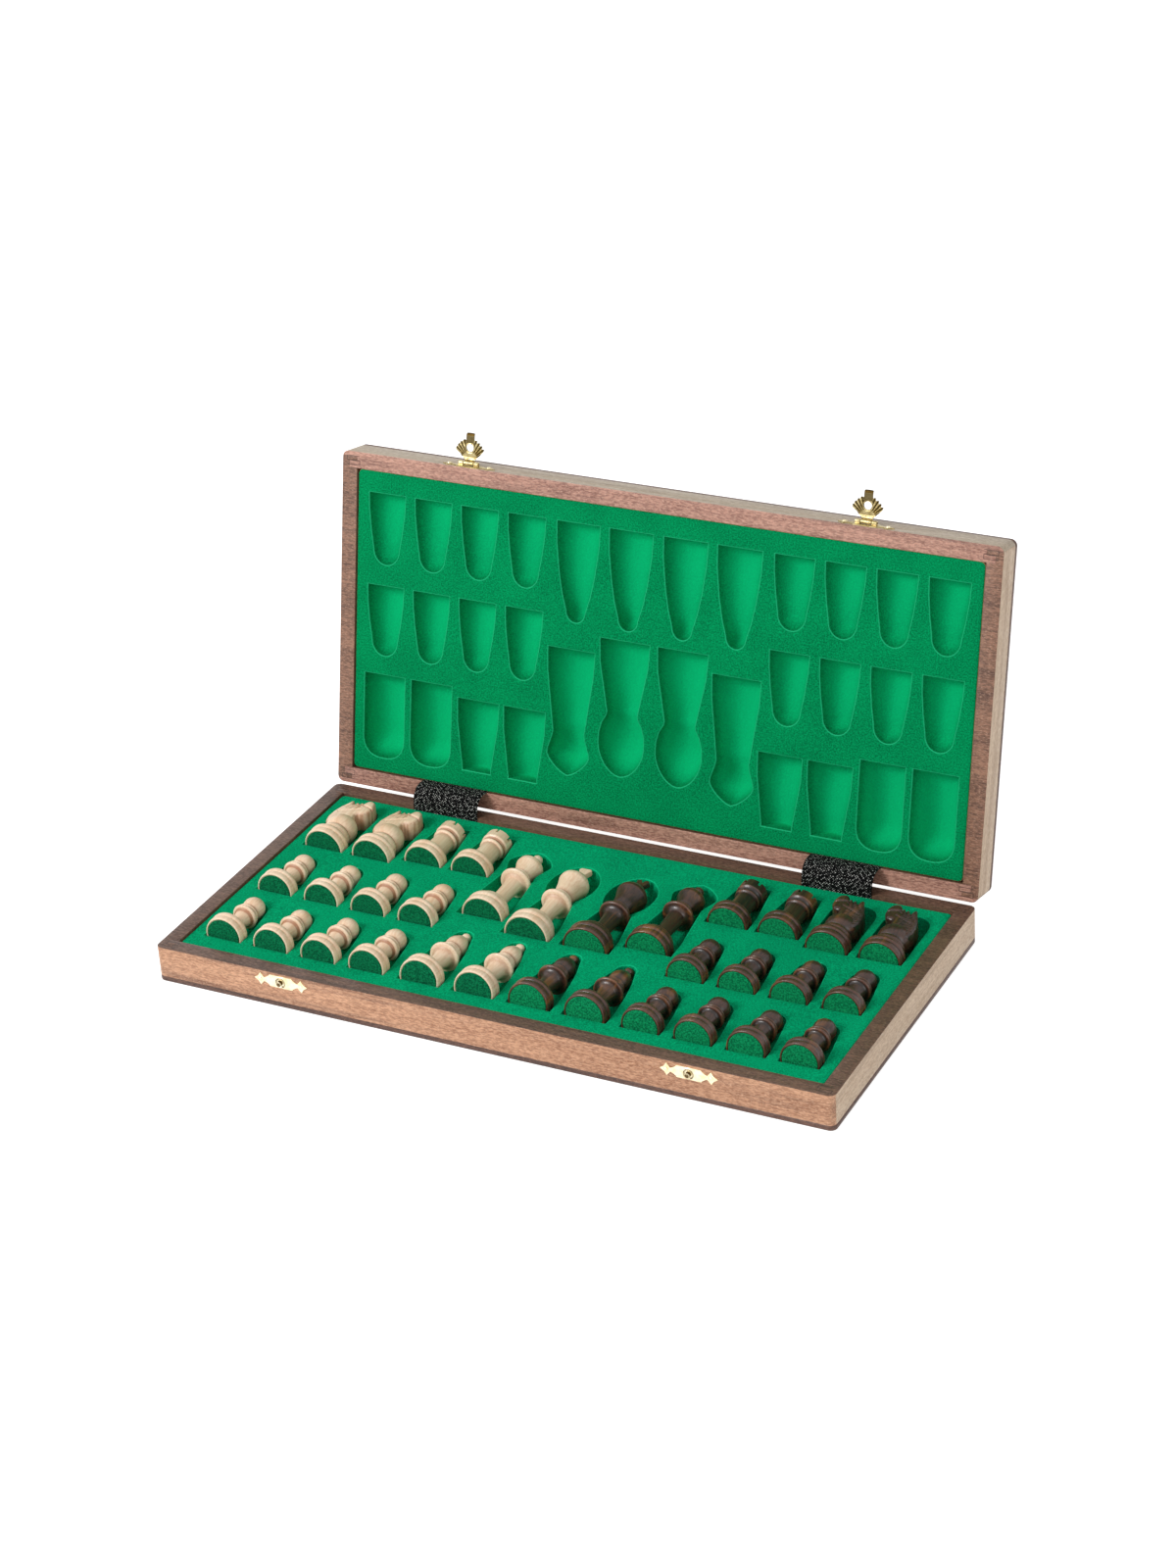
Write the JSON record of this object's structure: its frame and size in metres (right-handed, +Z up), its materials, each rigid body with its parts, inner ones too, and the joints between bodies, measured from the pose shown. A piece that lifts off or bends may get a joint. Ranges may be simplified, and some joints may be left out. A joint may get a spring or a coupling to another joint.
{
  "type": "chess box with hinged lid",
  "caption": "Shallow wooden folding box, lid leaning open, both halves lined with flocked trays; turned chess men lie in the lower one; two fan hasps on the lid.",
  "frame": {"origin": "centre of the underside of the base half", "axes": "+X along the long front edge to the right, +Y from the front to the hinges, +Z up"},
  "size_m": [0.41, 0.2706, 0.2422],
  "materials": {
    "base_rim_wood": "brown stained, satin",
    "lid_rim_wood": "reddish brown stained, satin",
    "panel_wood": "brown stained board, satin",
    "dark_veneer": "satin lacquer",
    "light_veneer": "satin lacquer",
    "green_flock": "flocked thin formed plastic",
    "black_tape": "woven tape",
    "brass": "pale brass plating",
    "white_man_wood": "satin lacquer",
    "black_man_wood": "semi-gloss lacquer",
    "green_felt": "felt"
  },
  "bodies": {
    "base": {"base_front_slat": "base_rim_wood", "base_rear_slat": "base_rim_wood", "base_left_slat": "base_rim_wood", "base_right_slat": "base_rim_wood", "base_panel": "panel_wood", "base_dark_squares": "dark_veneer", "base_light_squares": "light_veneer", "base_insert": "green_flock", "left_tape": "black_tape", "right_tape": "black_tape", "left_hinge_base_leaf": "brass", "right_hinge_base_leaf": "brass", "left_hinge_pin": "brass", "right_hinge_pin": "brass", "base_hinge_screws": "brass", "left_catch_plate": "brass", "right_catch_plate": "brass", "catch_nails": "brass"},
    "lid": {"lid_front_slat": "lid_rim_wood", "lid_rear_slat": "lid_rim_wood", "lid_left_slat": "lid_rim_wood", "lid_right_slat": "lid_rim_wood", "lid_panel": "panel_wood", "lid_dark_squares": "dark_veneer", "lid_light_squares": "light_veneer", "lid_insert": "green_flock", "left_hinge_lid_leaf": "brass", "right_hinge_lid_leaf": "brass", "lid_hinge_screws": "brass", "left_hasp_plate": "brass", "right_hasp_plate": "brass", "hasp_nails": "brass", "left_hasp_pin": "brass", "right_hasp_pin": "brass"},
    "left_hasp_body": {"left_hasp": "brass"},
    "right_hasp_body": {"right_hasp": "brass"},
    "white_king_set": {"white_king": "white_man_wood", "white_king_felt": "green_felt"},
    "white_queen_set": {"white_queen": "white_man_wood", "white_queen_felt": "green_felt"},
    "white_rooks_set": {"white_rooks": "white_man_wood", "white_rooks_felt": "green_felt"},
    "white_knights_set": {"white_knights": "white_man_wood", "white_knights_felt": "green_felt"},
    "white_bishops_set": {"white_bishops": "white_man_wood", "white_bishops_felt": "green_felt"},
    "white_pawns_set": {"white_pawns": "white_man_wood", "white_pawns_felt": "green_felt"},
    "black_king_set": {"black_king": "black_man_wood", "black_king_felt": "green_felt"},
    "black_queen_set": {"black_queen": "black_man_wood", "black_queen_felt": "green_felt"},
    "black_rooks_set": {"black_rooks": "black_man_wood", "black_rooks_felt": "green_felt"},
    "black_knights_set": {"black_knights": "black_man_wood", "black_knights_felt": "green_felt"},
    "black_bishops_set": {"black_bishops": "black_man_wood", "black_bishops_felt": "green_felt"},
    "black_pawns_set": {"black_pawns": "black_man_wood", "black_pawns_felt": "green_felt"}
  },
  "joints": [
    {"name": "lid_hinge", "type": "hinge", "parent": "base", "child": "lid", "pos_m": [0, 0.1023, 0.0219], "axis": [-1, 0, 0], "range_deg": [-102, 78], "deforming": ["left_tape", "right_tape"]},
    {"name": "left_hasp_pivot", "type": "hinge", "parent": "lid", "child": "left_hasp_body", "pos_m": [-0.12341, 0.14918, 0.22223], "axis": [-1, 0, 0], "range_deg": [-90, 50]},
    {"name": "right_hasp_pivot", "type": "hinge", "parent": "lid", "child": "right_hasp_body", "pos_m": [0.12341, 0.14918, 0.22223], "axis": [-1, 0, 0], "range_deg": [-90, 50]},
    {"name": "white_king_lift", "type": "slide", "parent": "base", "child": "white_king_set", "axis": [0, 0, 1], "range_m": [0, 0.045]},
    {"name": "white_queen_lift", "type": "slide", "parent": "base", "child": "white_queen_set", "axis": [0, 0, 1], "range_m": [0, 0.045]},
    {"name": "white_rooks_lift", "type": "slide", "parent": "base", "child": "white_rooks_set", "axis": [0, 0, 1], "range_m": [0, 0.045]},
    {"name": "white_knights_lift", "type": "slide", "parent": "base", "child": "white_knights_set", "axis": [0, 0, 1], "range_m": [0, 0.045]},
    {"name": "white_bishops_lift", "type": "slide", "parent": "base", "child": "white_bishops_set", "axis": [0, 0, 1], "range_m": [0, 0.045]},
    {"name": "white_pawns_lift", "type": "slide", "parent": "base", "child": "white_pawns_set", "axis": [0, 0, 1], "range_m": [0, 0.045]},
    {"name": "black_king_lift", "type": "slide", "parent": "base", "child": "black_king_set", "axis": [0, 0, 1], "range_m": [0, 0.045]},
    {"name": "black_queen_lift", "type": "slide", "parent": "base", "child": "black_queen_set", "axis": [0, 0, 1], "range_m": [0, 0.045]},
    {"name": "black_rooks_lift", "type": "slide", "parent": "base", "child": "black_rooks_set", "axis": [0, 0, 1], "range_m": [0, 0.045]},
    {"name": "black_knights_lift", "type": "slide", "parent": "base", "child": "black_knights_set", "axis": [0, 0, 1], "range_m": [0, 0.045]},
    {"name": "black_bishops_lift", "type": "slide", "parent": "base", "child": "black_bishops_set", "axis": [0, 0, 1], "range_m": [0, 0.045]},
    {"name": "black_pawns_lift", "type": "slide", "parent": "base", "child": "black_pawns_set", "axis": [0, 0, 1], "range_m": [0, 0.045]}
  ]
}
